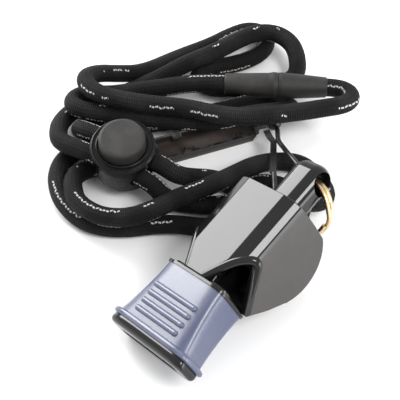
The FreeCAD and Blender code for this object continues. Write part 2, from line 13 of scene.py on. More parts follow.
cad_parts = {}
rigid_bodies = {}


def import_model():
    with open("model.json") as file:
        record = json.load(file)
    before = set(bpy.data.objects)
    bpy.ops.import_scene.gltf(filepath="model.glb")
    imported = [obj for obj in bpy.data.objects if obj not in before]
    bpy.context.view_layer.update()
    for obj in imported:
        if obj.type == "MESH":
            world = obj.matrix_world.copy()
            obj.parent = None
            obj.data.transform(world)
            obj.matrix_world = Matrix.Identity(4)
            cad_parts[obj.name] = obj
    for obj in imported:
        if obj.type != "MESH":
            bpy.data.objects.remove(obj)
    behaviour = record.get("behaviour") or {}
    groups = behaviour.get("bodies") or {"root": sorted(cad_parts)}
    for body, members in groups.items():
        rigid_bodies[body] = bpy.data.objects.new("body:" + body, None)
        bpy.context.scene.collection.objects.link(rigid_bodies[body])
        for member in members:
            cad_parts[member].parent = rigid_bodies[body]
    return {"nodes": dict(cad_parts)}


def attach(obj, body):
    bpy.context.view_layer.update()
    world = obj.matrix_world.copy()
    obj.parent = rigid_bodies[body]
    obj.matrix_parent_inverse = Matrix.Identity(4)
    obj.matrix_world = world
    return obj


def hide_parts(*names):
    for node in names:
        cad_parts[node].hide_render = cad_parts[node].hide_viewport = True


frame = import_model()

LOG = logging.getLogger("referee_whistle")
Point = tuple[float, float, float]
Colour = tuple[float, float, float]
Pair = tuple[float, float]
MM = 0.001
TINY_LENGTH = 1e-9
TINY_SHARE = 1e-6
MERGE_WITHIN = 0.002
FLAT_WITHIN = math.radians(0.8)
ROOT = "whistle_and_lanyard"

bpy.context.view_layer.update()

# The lanyard and the camera are laid out in a plan frame turned against the whistle
PLAN_TURN = Matrix.Rotation(math.radians(-47.5), 3, "Z")
PLAN_SHIFT = Vector((-0.0007, 0.0104, 0.0))

# How the whistle leans: its own frame has x from the mouth to the lug and z 0 on the deck
LEAN = (math.radians(-21.2), math.radians(-16.0), 0.0)
LEAN_MATRIX = Matrix.Rotation(LEAN[1], 3, "Y") @ Matrix.Rotation(LEAN[0], 3, "X")
WHISTLE_ORIGIN = Vector((-0.00235, 0.00291, 0.01973)) - LEAN_MATRIX @ Vector((0.025, 0.0, 0.0))


class Join(Enum):
    """What one solid does to another."""

    ADD = "UNION"
    CUT = "DIFFERENCE"
    MEET = "INTERSECT"


def from_plan(point: Sequence[float]) -> Vector:
    """Places a point of the plan frame in the part's frame.

    Args:
        point: The point in the plan frame, in metres.

    Returns:
        The same point in the part's frame.
    """
    return PLAN_TURN @ Vector(point) + PLAN_SHIFT


class Num:
    """A number that varies over a surface, as an output socket that takes part in sums."""

    def __init__(self, nodes: "Nodes", socket: bpy.types.NodeSocket) -> None:
        """Keeps the socket and the tree that it belongs to."""
        self.nodes = nodes
        self.socket = socket

    def maths(self, operation: str, *others: Union["Num", float]) -> "Num":
        """Adds one Math node.

        Args:
            operation: The Math node's operation.
            others: The second and third inputs, as far as the operation has them.

        Returns:
            The node's output.
        """
        return self.nodes.maths(operation, self, *others)

    def __add__(self, other: Union["Num", float]) -> "Num":
        """Sum."""
        return self.maths("ADD", other)

    __radd__ = __add__

    def __mul__(self, other: Union["Num", float]) -> "Num":
        """Product."""
        return self.maths("MULTIPLY", other)

    __rmul__ = __mul__

    def __sub__(self, other: Union["Num", float]) -> "Num":
        """Difference."""
        return self.maths("SUBTRACT", other)

    def __rsub__(self, other: float) -> "Num":
        """Difference from a plain number."""
        return self.nodes.maths("SUBTRACT", other, self)

    def __truediv__(self, other: Union["Num", float]) -> "Num":
        """Quotient."""
        return self.maths("DIVIDE", other)

    def __gt__(self, other: Union["Num", float]) -> "Num":
        """1 where this is the larger, else 0."""
        return self.maths("GREATER_THAN", other)

    def __lt__(self, other: Union["Num", float]) -> "Num":
        """1 where this is the smaller, else 0."""
        return self.maths("LESS_THAN", other)

    def abs(self) -> "Num":
        """Size without sign."""
        return self.maths("ABSOLUTE")

    def floor(self) -> "Num":
        """Whole number below."""
        return self.maths("FLOOR")

    def fract(self) -> "Num":
        """What is left over the whole number below."""
        return self.maths("FRACT")

    def band(self, low: float, high: float) -> "Num":
        """Rises smoothly from 0 at low to 1 at high."""
        settings = {"interpolation_type": "SMOOTHSTEP"}
        node = self.nodes.node("MapRange", settings, {"Value": self, "From Min": low, "From Max": high})
        return Num(self.nodes, node.outputs["Result"])


Socketed = Union[Num, bpy.types.NodeSocket, float, Sequence[float]]


class Nodes:
    """A node tree, with one method that makes its nodes."""

    def __init__(self, tree: bpy.types.NodeTree, output: str) -> None:
        """Empties the tree and gives it an output of that kind."""
        self.tree = tree
        self.tree.nodes.clear()
        self.output = self.node(output)

    def node(self, kind: str, settings: Optional[dict[str, Any]] = None,
             inputs: Optional[dict[Union[str, int], Socketed]] = None) -> bpy.types.Node:
        """Makes a node, sets it up and fills its sockets.

        Args:
            kind: The node's type without the leading ShaderNode.
            settings: The node's own settings, made first.
            inputs: A value or a link for each named or numbered socket.

        Returns:
            The new node.
        """
        node = self.tree.nodes.new("ShaderNode" + kind)
        for name, value in (settings or {}).items():
            setattr(node, name, value)
        for name, value in (inputs or {}).items():
            socket = node.inputs[name]
            if isinstance(value, Num):
                self.tree.links.new(value.socket, socket)
            elif isinstance(value, bpy.types.NodeSocket):
                self.tree.links.new(value, socket)
            else:
                socket.default_value = value
        return node

    def maths(self, operation: str, *values: Socketed) -> Num:
        """Adds a Math node over plain numbers and sockets, and returns its output."""
        node = self.node("Math", {"operation": operation}, dict(enumerate(values)))
        return Num(self, node.outputs["Value"])

    def end(self, surface: bpy.types.NodeSocket) -> None:
        """Links the last node to the tree's output."""
        self.tree.links.new(surface, self.output.inputs["Surface"])


class Shader(Nodes):
    """A material's node tree."""

    def __init__(self, name: str) -> None:
        """Starts an empty material of that name."""
        self.material = bpy.data.materials.new(name)
        self.material.use_nodes = True
        super().__init__(self.material.node_tree, "OutputMaterial")

    def place(self) -> bpy.types.NodeSocket:
        """The point on the piece, in metres."""
        return self.node("TexCoord").outputs["Object"]

    def split(self, vector: bpy.types.NodeSocket) -> tuple[Num, Num, Num]:
        """The three numbers of a vector."""
        parts = self.node("SeparateXYZ", {}, {0: vector}).outputs
        return Num(self, parts["X"]), Num(self, parts["Y"]), Num(self, parts["Z"])

    def on_whistle(self) -> tuple[Num, Num, Num]:
        """The point in the whistle's own frame: along, to the left and up from the deck."""
        inputs = {"Vector": self.place(), "Location": tuple(WHISTLE_ORIGIN), "Rotation": LEAN}
        return self.split(self.node("Mapping", {"vector_type": "TEXTURE"}, inputs).outputs[0])

    def along(self, attribute: str) -> tuple[Num, Num]:
        """The two numbers of the piece's own UV map."""
        uv = self.node("UVMap", {"uv_map": attribute}).outputs["UV"]
        return self.split(uv)[:2]

    def noise(self, scale: float, detail: float = 2.0, vector: Optional[Socketed] = None,
              distortion: float = 0.0) -> Num:
        """Smooth noise over the piece.

        Args:
            scale: Lumps per metre.
            detail: How many finer octaves are added.
            vector: Where it is read, the point on the piece if left out.
            distortion: How far the lumps are pulled about.

        Returns:
            The noise, about 0.5 on average.
        """
        inputs = {"Vector": vector or self.place(), "Scale": scale, "Detail": detail,
                  "Distortion": distortion}
        return Num(self, self.node("TexNoise", {}, inputs).outputs["Fac"])

    def blend(self, amount: Socketed, first: Socketed, second: Socketed) -> bpy.types.NodeSocket:
        """A colour between first and second."""
        inputs = {0: amount, 6: first, 7: second}
        return self.node("Mix", {"data_type": "RGBA", "clamp_factor": True}, inputs).outputs[2]

    def bump(self, height: Num, depth: float,
             under: Optional[bpy.types.NodeSocket] = None) -> bpy.types.NodeSocket:
        """A normal from a height of 0 to 1.

        Args:
            height: The height.
            depth: What a height of 1 stands for, in metres.
            under: A normal that this one is laid over.

        Returns:
            The normal.
        """
        inputs = {"Height": height, "Distance": depth}
        if under is not None:
            inputs["Normal"] = under
        return self.node("Bump", {}, inputs).outputs["Normal"]

    def finish(self, inputs: dict[Union[str, int], Socketed]) -> bpy.types.Material:
        """Ends the tree in a Principled BSDF with those inputs.

        Args:
            inputs: Values and links of the shader's sockets.

        Returns:
            The finished material.
        """
        surface = self.node("BsdfPrincipled", {}, inputs)
        self.end(surface.outputs["BSDF"])
        return self.material


def rgba(colour: Colour) -> tuple[float, float, float, float]:
    """A colour with full alpha."""
    return (*colour, 1.0)


@dataclass(frozen=True)
class MouldedPlastic:
    """Grained or satin moulded plastic with faint flow ripples, handling haze and fine specks."""

    name: str
    colour: Colour
    worn: Colour
    roughness: float
    haze: float
    grain: float
    grain_scale: float
    specular: float
    ripple: float = 0.00002
    ripple_scale: float = 60.0
    smear_scale: float = 120.0
    speck_scale: float = 900.0

    def build(self) -> bpy.types.Material:
        """Makes the material."""
        shader = Shader(self.name)
        smear = shader.noise(self.smear_scale, 4.0, distortion=0.6).band(0.45, 0.75)
        speck = shader.noise(self.speck_scale, 3.0)
        ripple = shader.bump(shader.noise(self.ripple_scale, 1.0), self.ripple)
        return shader.finish({
            "Base Color": shader.blend(smear * 0.5 + speck * 0.25, rgba(self.colour), rgba(self.worn)),
            "Roughness": smear * self.haze + speck * 0.06 + self.roughness,
            "Specular IOR Level": self.specular,
            "Normal": shader.bump(shader.noise(self.grain_scale, 2.0), self.grain, ripple),
        })


@dataclass(frozen=True)
class WhistlePlastic:
    """Black moulded plastic, polished on the deck and its bevels and satin on the side walls, which are
    painted lighter as a sheen.
    """

    name: str = "whistle_plastic"
    colour: Colour = (0.006, 0.006, 0.0065)
    # Lighter colour of the side walls: painted sheen
    side: Colour = (0.05, 0.046, 0.045)
    polished: float = 0.07
    satin: float = 0.42
    side_from: float = 9.25 * MM
    side_fade: float = 0.25 * MM
    port_foot: Pair = (15.5 * MM, -9.9 * MM)
    port_normal: Pair = (0.638, -0.77)
    rim: float = 1.5 * MM
    rim_fade: float = 0.4 * MM
    specular: float = 0.35
    ripple: float = 0.00002
    ripple_scale: float = 90.0
    pore: float = 0.000006
    speck_scale: float = 2200.0
    smear_scale: float = 150.0
    mottle_scale: float = 420.0

    def build(self) -> bpy.types.Material:
        """Makes the material."""
        shader = Shader(self.name)
        x, y, z = shader.on_whistle()
        behind = (x - self.port_foot[0]) * self.port_normal[0]
        behind = behind + (z - self.port_foot[1]) * self.port_normal[1]
        wall = y.abs().band(self.side_from, self.side_from + self.side_fade)
        wall = wall * behind.band(self.rim, self.rim + self.rim_fade)
        smear = shader.noise(self.smear_scale, 4.0, distortion=0.6).band(0.45, 0.8)
        speck = shader.noise(self.speck_scale, 3.0)
        mottle = shader.noise(self.mottle_scale, 3.0)
        # Side walls painted lighter as a sheen, varied by the mottle
        colour = shader.blend(wall * (mottle * 0.3 + 0.8), rgba(self.colour), rgba(self.side))
        ripple = shader.bump(shader.noise(self.ripple_scale, 1.0), self.ripple)
        return shader.finish({
            "Base Color": colour,
            "Roughness": wall * self.satin + smear * 0.06 + speck * 0.05 + self.polished,
            "Specular IOR Level": self.specular,
            "Normal": shader.bump(speck * (wall * 0.8 + 0.2), self.pore, ripple),
        })


@dataclass(frozen=True)
class SoftGrip:
    """Blue-grey translucent rubber over black plastic, with painted shade in its folds and on its lower
    sides.
    """

    name: str = "grip_rubber"
    deep: Colour = (0.045, 0.055, 0.115)
    bright: Colour = (0.135, 0.148, 0.205)
    roughness: float = 0.26
    # Where the painted shade of the folds and of the lower sides lies
    fold_y: float = 8.9 * MM
    fold_width: float = 1.9 * MM
    shade_below_z: float = -4.2 * MM
    coat: float = 0.25
    coat_roughness: float = 0.2
    subsurface: float = 0.35
    bleed: Colour = (0.001, 0.0012, 0.002)
    speck_depth: float = 0.000012
    speck_scale: float = 2600.0
    cloud_scale: float = 260.0

    def build(self) -> bpy.types.Material:
        """Makes the material."""
        shader = Shader(self.name)
        cloud = shader.noise(self.cloud_scale, 3.0, distortion=0.4)
        speck = shader.noise(self.speck_scale, 2.0)
        _, y, z = shader.on_whistle()
        # Painted shade: darker in the folds near the edges of the top and on the lower sides
        fold_shade = (y.abs() - self.fold_y).abs().band(0.0, self.fold_width) * 0.75 + 0.25
        side = 1.0 - (z < self.shade_below_z) * 0.45
        light = (cloud * 0.7 + speck * 0.3 + 0.05) * fold_shade * side
        return shader.finish({
            "Base Color": shader.blend(light, rgba(self.deep), rgba(self.bright)),
            "Roughness": cloud * 0.16 + self.roughness,
            "Coat Weight": self.coat,
            "Coat Roughness": self.coat_roughness,
            "Subsurface Weight": self.subsurface,
            "Subsurface Radius": self.bleed,
            "Subsurface Scale": 1.0,
            "Normal": shader.bump(speck, self.speck_depth),
        })


@dataclass(frozen=True)
class WireMetal:
    """Drawn or plated metal with patches of tarnish and fine scratches."""

    name: str
    colour: Colour
    shade: Colour
    roughness: float = 0.22
    metallic: float = 1.0
    scratch: float = 0.000008
    scratch_scale: float = 5200.0
    tarnish_scale: float = 420.0

    def build(self) -> bpy.types.Material:
        """Makes the material."""
        shader = Shader(self.name)
        tarnish = shader.noise(self.tarnish_scale, 4.0, distortion=0.8).band(0.4, 0.72)
        hair = shader.noise(self.scratch_scale, 2.0)
        return shader.finish({
            "Base Color": shader.blend(tarnish, rgba(self.colour), rgba(self.shade)),
            "Metallic": self.metallic,
            "Roughness": tarnish * 0.15 + hair * 0.08 + self.roughness,
            "Normal": shader.bump(hair, self.scratch),
        })


@dataclass(frozen=True)
class FoldedSheet:
    """Black lacquered steel sheet that is brownish low down in its channel, with a painted highlight in
    patches along its rims.
    """

    name: str = "clamp_lacquer"
    colour: Colour = (0.014, 0.013, 0.013)
    brown: Colour = (0.06, 0.045, 0.036)
    # Colour of the painted highlight along the rims
    rim_highlight: Colour = (0.16, 0.15, 0.145)
    floor_top: float = 0.9 * MM
    rim_top: float = 2.3 * MM
    rim_fade: float = 0.15 * MM
    metallic: float = 0.3
    dent: float = 0.00002
    dent_scale: float = 1500.0
    mottle_scale: float = 700.0

    def build(self) -> bpy.types.Material:
        """Makes the material."""
        shader = Shader(self.name)
        height = shader.split(shader.place())[2]
        mottle = shader.noise(self.mottle_scale, 4.0, distortion=0.5)
        low = height < self.floor_top
        # Painted highlight in patches along the tops of the rims
        rim = height.band(self.rim_top, self.rim_top + self.rim_fade)
        colour = shader.blend(low * (mottle * 0.7 + 0.4), rgba(self.colour), rgba(self.brown))
        colour = shader.blend(rim * mottle.band(0.42, 0.62) * 0.5, colour, rgba(self.rim_highlight))
        return shader.finish({
            "Base Color": colour,
            "Metallic": self.metallic,
            "Roughness": mottle * 0.2 + 0.28,
            "Normal": shader.bump(shader.noise(self.dent_scale, 3.0), self.dent),
        })


@dataclass(frozen=True)
class WovenCord:
    """Black braided cord: ribs of slanted stitches round it with painted highlights on their crowns, and a
    few runs of worn pale thread.
    """

    name: str = "cord_braid"
    uv_map: str = "route"
    colour: Colour = (0.003, 0.003, 0.0032)
    # Lighter colour of the stitch crowns: painted highlight
    crown: Colour = (0.022, 0.02, 0.02)
    thread: Colour = (0.55, 0.53, 0.52)
    rib: float = 0.43 * MM
    stitches: int = 14
    depth: float = 0.00022
    specular: float = 0.16
    fuzz_scale: float = 9000.0
    worn_scale: float = 130.0
    lanes: float = 3.0
    thread_width: float = 0.045
    wander_scale: float = 420.0
    patch_scale: float = 115.0

    def build(self) -> bpy.types.Material:
        """Makes the material."""
        shader = Shader(self.name)
        round_it, along = shader.along(self.uv_map)
        column = round_it * float(self.stitches)
        row = along / self.rib + (column.floor() * 0.5).fract() * 0.5
        across = (column.fract() - 0.5).abs() * 2.0
        within = (row.fract() - 0.5).abs() * 2.0
        crown = (1.0 - within * within) * (1.0 - across * across * 0.35)
        fuzz = shader.noise(self.fuzz_scale, 2.0)
        worn = shader.noise(self.worn_scale, 3.0).band(0.42, 0.7)
        # Stitch crowns painted lighter as a highlight, stronger in patches
        colour = shader.blend(crown * (worn * 0.8 + 0.2), rgba(self.colour), rgba(self.crown))
        colour = shader.blend(self.strays(shader, round_it, along), colour, rgba(self.thread))
        return shader.finish({
            "Base Color": colour,
            "Roughness": 0.9 - crown * 0.25,
            "Specular IOR Level": self.specular,
            "Normal": shader.bump(crown + fuzz * 0.25, self.depth),
        })

    def strays(self, shader: Shader, round_it: Num, along: Num) -> Num:
        """Where a pale thread zigzags along the cord, in short runs of dashes.

        Args:
            shader: The material's tree.
            round_it: The way round the cord, 0 to 1.
            along: The way along it, in metres.

        Returns:
            1 on the thread, else 0.
        """
        place = shader.node("CombineXYZ", {}, {0: along}).outputs[0]
        wander = shader.noise(self.wander_scale, 2.0, vector=place) * 0.3
        across = round_it * self.lanes + wander
        jog = (along / (self.rib * 4.0)).fract() - 0.5
        lane = ((across + jog.abs() * 0.12).fract() - 0.5).abs() < self.thread_width
        dash = (along / (self.rib * 2.0)).fract() > 0.3
        here = shader.node("CombineXYZ", {}, {0: along, 1: across.floor() * 0.3}).outputs[0]
        patch = shader.noise(self.patch_scale, 2.0, vector=here) > 0.53
        return lane * dash * patch


@dataclass(frozen=True)
class Finishes:
    """Every finish of the object, one material each."""

    body: WhistlePlastic = WhistlePlastic()
    button: MouldedPlastic = MouldedPlastic(
        name="grained_plastic", colour=(0.012, 0.0115, 0.011), worn=(0.05, 0.047, 0.045),
        roughness=0.5, haze=0.1, grain=0.00007, grain_scale=5200.0, specular=0.3)
    housing: MouldedPlastic = MouldedPlastic(
        name="satin_plastic", colour=(0.003, 0.0028, 0.0028), worn=(0.008, 0.007, 0.007),
        roughness=0.2, haze=0.12, grain=0.00001, grain_scale=2600.0, specular=0.22)
    grip: SoftGrip = SoftGrip()
    ring: WireMetal = WireMetal(
        name="ring_brass", colour=(0.72, 0.56, 0.33), shade=(0.5, 0.36, 0.19), roughness=0.2)
    hook: WireMetal = WireMetal(
        name="hook_black", colour=(0.03, 0.03, 0.032), shade=(0.012, 0.012, 0.012), metallic=0.5)
    clamp: FoldedSheet = FoldedSheet()
    cord: WovenCord = WovenCord()


def deselect() -> None:
    """Leaves nothing selected, CAD nodes included."""
    for obj in bpy.data.objects:
        obj.select_set(False)


def cover(obj: bpy.types.Object, material: bpy.types.Material) -> None:
    """Gives a piece one finish in place of any other."""
    obj.data.materials.clear()
    obj.data.materials.append(material)


def dress(node: str, material: bpy.types.Material) -> None:
    """Gives a CAD node its finish."""
    cover(frame["nodes"][node], material)
    LOG.info("dressed %s", node)


def add_spline(curve: bpy.types.Curve, route: Sequence[Sequence[float]]) -> None:
    """Gives a curve one NURBS spline from the first point of a route to its last."""
    spline = curve.splines.new("NURBS")
    spline.points.add(len(route) - 1)
    for control, place in zip(spline.points, route):
        control.co = (*place, 1.0)
    spline.order_u = 3
    spline.use_endpoint_u = True


@contextmanager
def editing() -> Iterator[None]:
    """Edits all of the active mesh, and turns what is selected at the end outward."""
    bpy.ops.object.mode_set(mode="EDIT")
    bpy.ops.mesh.select_all(action="SELECT")
    yield
    bpy.ops.mesh.normals_make_consistent(inside=False)
    bpy.ops.object.mode_set(mode="OBJECT")


def new_object(name: str, mesh: bpy.types.Mesh, material: bpy.types.Material) -> bpy.types.Object:
    """Links a mesh into the scene as a piece with one material."""
    obj = bpy.data.objects.new(name, mesh)
    bpy.context.scene.collection.objects.link(obj)
    mesh.materials.append(material)
    return obj


@dataclass
class Cord:
    """One length of braided cord, as a mesh tube that follows its route's NURBS spline."""

    name: str
    node: str
    route: list[Point]
    length: float
    diameter: float = 4.4 * MM
    sides: int = 20
    step: float = 0.6 * MM
    with_pieces: list[str] = field(default_factory=list)

    def centreline(self) -> list[Vector]:
        """Points read from the route's NURBS spline, close together and evenly spaced."""
        curve = bpy.data.curves.new(self.name + "_line", "CURVE")
        curve.dimensions = "3D"
        curve.resolution_u = 24
        add_spline(curve, [from_plan([c * MM for c in place]) for place in self.route])
        holder = bpy.data.objects.new(curve.name, curve)
        mesh = bpy.data.meshes.new_from_object(holder)
        line = [vertex.co.copy() for vertex in mesh.vertices]
        bpy.data.meshes.remove(mesh)
        bpy.data.objects.remove(holder)
        bpy.data.curves.remove(curve)
        return self.evened(line)

    def evened(self, line: list[Vector]) -> list[Vector]:
        """The same line with points one step apart."""
        spans = [(b - a).length for a, b in zip(line, line[1:])]
        count = max(2, round(sum(spans) / self.step))
        stride = sum(spans) / count
        points, travelled, target = [line[0]], 0.0, stride
        for a, b, span in zip(line, line[1:], spans):
            while span > 0 and travelled + span >= target - TINY_LENGTH and len(points) < count:
                points.append(a.lerp(b, (target - travelled) / span))
                target += stride
            travelled += span
        points.append(line[-1])
        return points

    def build(self, material: bpy.types.Material) -> None:
        """Makes the tube and its route map, and hides the CAD node that it stands for."""
        line = self.centreline()
        mesh = bpy.data.meshes.new(self.name)
        build = bmesh.new()
        uv = build.loops.layers.uv.new("route")
        rings, previous_side = [], None
        for i, centre in enumerate(line):
            ahead = line[min(i + 1, len(line) - 1)] - line[max(i - 1, 0)]
            ahead.normalize()
            if previous_side is None:
                previous_side = ahead.orthogonal()
            side = (previous_side - ahead * previous_side.dot(ahead)).normalized()
            up = ahead.cross(side)
            previous_side = side
            ring = []
            for k in range(self.sides):
                angle = 2 * math.pi * k / self.sides
                offset = (side * math.cos(angle) + up * math.sin(angle)) * self.diameter / 2
                ring.append(build.verts.new(centre + offset))
            rings.append(ring)
        travelled = 0.0
        for i in range(len(rings) - 1):
            span = (line[i + 1] - line[i]).length
            for k in range(self.sides):
                far = (k + 1) % self.sides
                face = build.faces.new((rings[i][k], rings[i][far], rings[i + 1][far], rings[i + 1][k]))
                face.smooth = True
                corners = ((k, 0.0), (k + 1, 0.0), (k + 1, span), (k, span))
                for loop, (column, along) in zip(face.loops, corners):
                    loop[uv].uv = (column / self.sides, travelled + along)
            travelled += span
        build.faces.new(list(reversed(rings[0])))
        build.faces.new(rings[-1])
        build.to_mesh(mesh)
        build.free()
        obj = new_object(self.name, mesh, material)
        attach(obj, "whistle_and_lanyard")
        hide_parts(self.node)
        LOG.info("%s is %.1f mm long", self.name, travelled / MM)


@dataclass
class Studio:
    """Camera, lamps, world and floor."""

    target: Point = (0.0, 0.0, 0.0242)
    lit: Point = (0.0, 0.015, 0.015)
    distance: float = 0.2127
    elevation: float = math.radians(52.0)
    lens: float = 93.3
    sensor: float = 36.0
    floor_size: float = 4.0
    floor_colour: Colour = (0.86, 0.86, 0.86)
    ambient: float = 0.8
    backdrop: float = 1.0

    def hang(self, name: str, data: bpy.types.ID, place: Vector, facing: Vector) -> bpy.types.Object:
        """Puts a camera or a lamp at a place.

        Args:
            name: The object's name.
            data: The camera or the lamp.
            place: Where it stands.
            facing: Which way it looks.

        Returns:
            The new object.
        """
        obj = bpy.data.objects.new(name, data)
        bpy.context.scene.collection.objects.link(obj)
        obj.location = place
        obj.rotation_euler = facing.to_track_quat("-Z", "Y").to_euler()
        return obj

    def camera(self) -> None:
        """Places the camera where the photograph was taken from."""
        back = PLAN_TURN @ Vector((0.0, -math.cos(self.elevation), math.sin(self.elevation)))
        data = bpy.data.cameras.new("camera")
        data.lens = self.lens
        data.sensor_width = self.sensor
        data.clip_start = 0.01
        data.dof.use_dof = False
        place = from_plan(self.target) + back * self.distance
        bpy.context.scene.camera = self.hang("camera", data, place, -back)

    def lamp(self, name: str, direction: Point, away: float, size: Pair, watts: float) -> None:
        """Adds a soft box.

        Args:
            name: The lamp's name.
            direction: Where it stands, seen from the object, in the plan frame.
            away: Its distance in metres.
            size: Its width and height in metres.
            watts: Its power.
        """
        data = bpy.data.lights.new(name, "AREA")
        data.shape = "RECTANGLE"
        data.size, data.size_y = size
        data.energy = watts
        towards = (PLAN_TURN @ Vector(direction)).normalized()
        self.hang(name, data, from_plan(self.lit) + towards * away, -towards)

    def world(self) -> None:
        """White where the camera, metal and glass look past the object, and dimmer as a light."""
        world = bpy.data.worlds.new("room")
        bpy.context.scene.world = world
        world.use_nodes = True
        nodes = Nodes(world.node_tree, "OutputWorld")
        path = nodes.node("LightPath").outputs
        seen = nodes.maths("MAXIMUM", path["Is Camera Ray"], path["Is Transmission Ray"])
        either = nodes.maths("MAXIMUM", seen, path["Is Glossy Ray"])
        levels = {"Value": either, "To Min": self.ambient, "To Max": self.backdrop}
        strength = nodes.node("MapRange", {}, levels).outputs["Result"]
        colour = rgba((1.0, 1.0, 1.0))
        nodes.end(nodes.node("Background", {}, {"Color": colour, "Strength": strength}).outputs[0])

    def floor(self) -> None:
        """A pale floor that keeps the object's shadow and gives a faint reflection."""
        deselect()
        bpy.ops.mesh.primitive_plane_add(size=self.floor_size, location=(0.0, 0.0, 0.0))
        floor = bpy.context.object
        floor.name = "floor"
        shader = Shader("floor_white")
        floor.data.materials.append(shader.finish({
            "Base Color": rgba(self.floor_colour),
            "Roughness": 0.35,
            "Specular IOR Level": 0.3,
        }))

    def build(self) -> None:
        """Sets up everything round the object."""
        self.camera()
        self.floor()
        self.world()
        self.lamp("deck_box", (-0.586, 0.673, 0.454), away=0.55, size=(0.34, 0.3), watts=4.2)
        self.lamp("facet_box", (0.449, -0.402, 0.801), away=0.6, size=(0.2, 0.2), watts=2.4)
        self.lamp("side_box", (0.9, -0.4, 0.16), away=0.5, size=(0.45, 0.16), watts=1.6)
        settings = bpy.context.scene.view_settings
        settings.view_transform = "Standard"


class Solid:
    """A closed piece being modelled, in millimetres and in the whistle's own frame."""

    def __init__(self, name: str) -> None:
        """Takes over the object that was just added.

        Args:
            name: The piece's name.
        """
        self.obj = bpy.context.object
        self.obj.name = name
        bpy.ops.object.transform_apply(location=True, rotation=True, scale=True)

    @classmethod
    def block(cls, name: str, xs: Pair, ys: Pair, zs: Pair) -> "Solid":
        """A block between two values on each axis."""
        deselect()
        spans = (xs, ys, zs)
        bpy.ops.mesh.primitive_cube_add(size=1.0, location=[sum(s) / 2 for s in spans])
        bpy.context.object.scale = [s[1] - s[0] for s in spans]
        return cls(name)

    @classmethod
    def rod(cls, name: str, centre: Point, ends: Pair, half: float, sides: int = 64) -> "Solid":
        """A round or tapered rod across the whistle.

        Args:
            name: The piece's name.
            centre: Its middle.
            ends: Its radius at its right end and at its left end.
            half: Half its length.
            sides: How many sides stand for the round.

        Returns:
            The rod.
        """
        deselect()
        bpy.ops.mesh.primitive_cone_add(vertices=sides, radius1=ends[0], radius2=ends[1], depth=2 * half,
                                        location=centre, rotation=(-math.pi / 2, 0.0, 0.0))
        return cls(name)

    @classmethod
    def prism(cls, name: str, outline: Sequence[Point], along: Point) -> "Solid":
        """A flat outline drawn out along a direction.

        Args:
            name: The piece's name.
            outline: The outline's corners in order.
            along: How far and which way it is drawn out.

        Returns:
            The prism.
        """
        deselect()
        bpy.ops.mesh.primitive_circle_add(vertices=len(outline), radius=1.0, fill_type="NGON")
        piece = cls(name)
        for vertex, corner in zip(piece.obj.data.vertices, outline):
            vertex.co = corner
        with editing():
            bpy.ops.mesh.extrude_region_move(TRANSFORM_OT_translate={"value": along})
            bpy.ops.mesh.select_all(action="SELECT")
        return piece

    @classmethod
    def plate(cls, name: str, outline: Sequence[Pair], ys: Pair) -> "Solid":
        """A plate across the whistle from its side view's points (x, z)."""
        return cls.prism(name, [(x, ys[0], z) for x, z in outline], (0.0, ys[1] - ys[0], 0.0))

    @classmethod
    def sleeve(cls, name: str, stations: Sequence[Pair], section: "MouthSection") -> "Solid":
        """A flared sleeve over the mouthpiece's section.

        Args:
            name: The piece's name.
            stations: For each ring its x and how far it stands out from the section.
            section: The mouthpiece's section.

        Returns:
            The sleeve, closed at both ends.
        """
        deselect()
        bpy.ops.mesh.primitive_circle_add(vertices=section.sides, radius=1.0, fill_type="NGON",
                                          rotation=(0.0, math.pi / 2, 0.0))
        piece = cls(name)
        x, (half, top, bottom) = stations[0][0], section.at(*stations[0])
        for vertex in piece.obj.data.vertices:
            y, z = section.squared(vertex.co.y, vertex.co.z)
            vertex.co = (x, y * half, (top + bottom) / 2 + z * (top - bottom) / 2)
        with editing():
            for station in stations[1:]:
                new_half, new_top, new_bottom = section.at(*station)
                middle = (station[0], 0.0, (new_top + new_bottom) / 2)
                step = (station[0] - x, 0.0, middle[2] - (top + bottom) / 2)
                bpy.ops.mesh.extrude_region_move(TRANSFORM_OT_translate={"value": step})
                grow = (1.0, new_half / half, (new_top - new_bottom) / (top - bottom))
                bpy.ops.transform.resize(value=grow, center_override=middle)
                x, half, top, bottom = station[0], new_half, new_top, new_bottom
            bpy.ops.mesh.select_all(action="SELECT")
        return piece

    def activate(self) -> None:
        """Selects this piece alone."""
        deselect()
        self.obj.select_set(True)
        bpy.context.view_layer.objects.active = self.obj

    def modify(self, kind: str, **settings: Any) -> "Solid":
        """Adds a modifier with those settings and applies it."""
        self.activate()
        modifier = self.obj.modifiers.new(kind.lower(), kind)
        for name, value in settings.items():
            setattr(modifier, name, value)
        bpy.ops.object.modifier_apply(modifier=modifier.name)
        return self

    def combine(self, operation: Join, *others: "Solid") -> "Solid":
        """Joins, cuts or meets this piece with others, which are used up."""
        for other in others:
            self.modify("BOOLEAN", object=other.obj, operation=operation.value, solver="EXACT")
            bpy.data.objects.remove(other.obj)
        return self

    def cleaned(self) -> "Solid":
        """Merges doubled points and flat neighbouring faces."""
        self.activate()
        with editing():
            bpy.ops.mesh.remove_doubles(threshold=MERGE_WITHIN)
            bpy.ops.mesh.dissolve_limited(angle_limit=FLAT_WITHIN)
        return self

    def rounded(self, width: float, segments: int, sharper_than: float) -> "Solid":
        """Rounds every edge that is sharper than an angle in degrees."""
        self.cleaned()
        return self.modify("BEVEL", width=width, segments=segments, limit_method="ANGLE",
                           angle_limit=math.radians(sharper_than), use_clamp_overlap=False)

    def join(self, *others: "Solid") -> "Solid":
        """Takes other pieces in as they are."""
        self.activate()
        for other in others:
            other.obj.select_set(True)
        bpy.ops.object.join()
        return self

